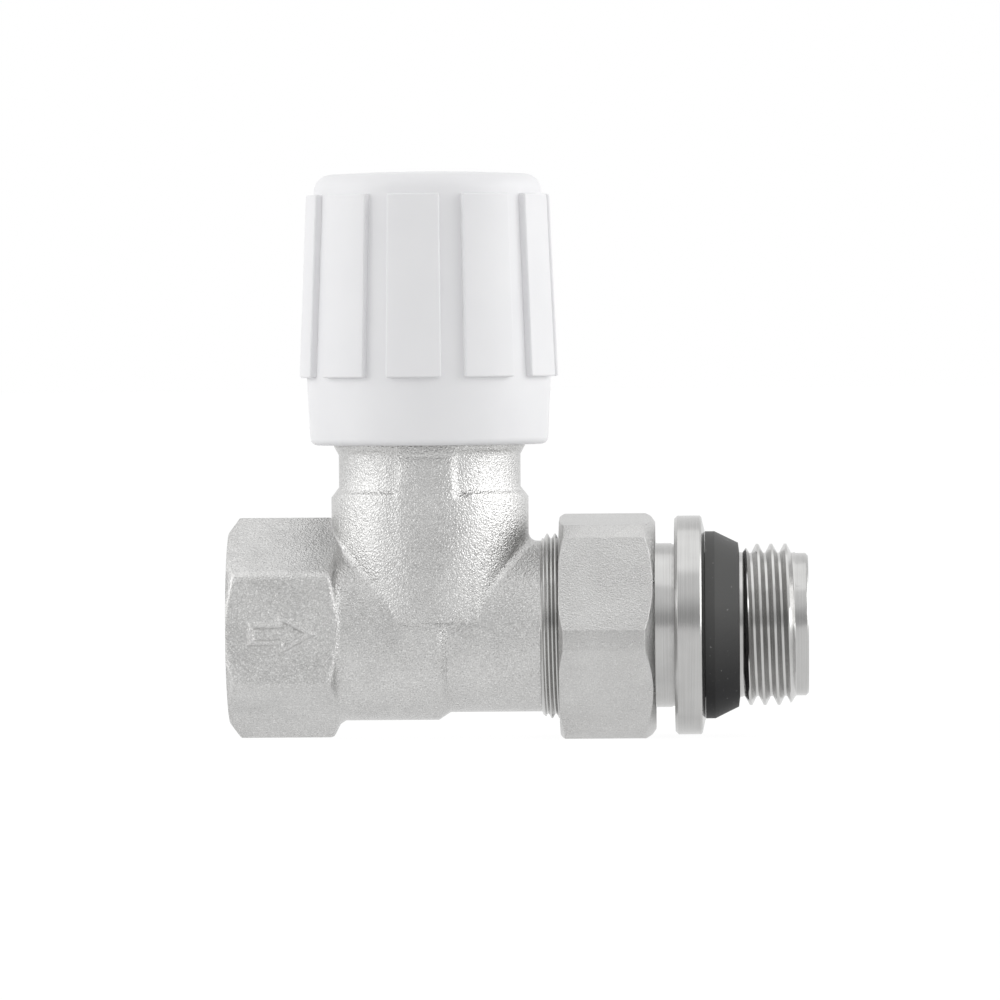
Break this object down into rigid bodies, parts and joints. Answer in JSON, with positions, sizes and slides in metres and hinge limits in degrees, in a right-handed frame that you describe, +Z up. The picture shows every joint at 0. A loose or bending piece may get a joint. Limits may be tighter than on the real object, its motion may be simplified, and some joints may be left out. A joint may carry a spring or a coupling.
{
  "type": "manual radiator valve",
  "caption": "Straight manual radiator valve: ribbed white handwheel on a rising stem, female pipe inlet, union nut and self-sealing male tailpiece.",
  "frame": {"origin": "centre of the inlet's end face, on the pipe's axis", "axes": "+X along the flow, from the inlet to the tailpiece's end; +Z up along the stem; +Y to the far side"},
  "size_m": [0.0751, 0.0336, 0.0735],
  "materials": {
    "blasted_nickel": "satin",
    "fine_blasted_nickel": "satin",
    "turned_nickel": "gloss",
    "bare_brass": "satin",
    "white_plastic": "satin",
    "slip_plastic": "satin",
    "seal_rubber": "matte",
    "black_rubber": "matte",
    "spring_steel": "satin"
  },
  "bodies": {
    "valve": {"valve_body": "blasted_nickel", "bonnet": "bare_brass", "bonnet_o_ring": "seal_rubber", "lower_stem_o_ring": "seal_rubber", "seal_spacer": "bare_brass", "upper_stem_o_ring": "seal_rubber", "gland_washer": "slip_plastic", "gland_nut": "bare_brass"},
    "disc": {"disc_carrier": "bare_brass", "disc_seal": "seal_rubber", "disc_nut": "bare_brass", "stem_clip": "spring_steel"},
    "spindle": {"stem": "bare_brass", "handwheel": "white_plastic", "screw_washer": "spring_steel", "handwheel_screw": "spring_steel", "handwheel_cap": "white_plastic"},
    "tailpiece": {"tailpiece": "turned_nickel", "tailpiece_o_ring": "seal_rubber", "backing_ring": "turned_nickel", "sealing_ring": "black_rubber"},
    "union_nut": {"union_nut": "fine_blasted_nickel"}
  },
  "joints": [
    {"name": "disc_lift", "type": "slide", "parent": "valve", "child": "disc", "axis": [0, 0, 1], "range_m": [0, 0.00344]},
    {"name": "handwheel_turn", "type": "hinge", "parent": "disc", "child": "spindle", "pos_m": [0.0261, 0, 0.04], "axis": [0, 0, 1], "range_deg": [0, 990]},
    {"name": "tailpiece_draw", "type": "slide", "parent": "valve", "child": "tailpiece", "axis": [1, 0, 0], "range_m": [0, 0.0075]},
    {"name": "union_nut_turn", "type": "hinge", "parent": "tailpiece", "child": "union_nut", "pos_m": [0.0491, 0, 0], "axis": [1, 0, 0], "range_deg": [0, 2700]}
  ],
  "couplings": [
    {"joint": "handwheel_turn", "follows": "disc_lift", "rad_per_m": 5026.5},
    {"joint": "union_nut_turn", "follows": "tailpiece_draw", "rad_per_m": 6283.2}
  ]
}
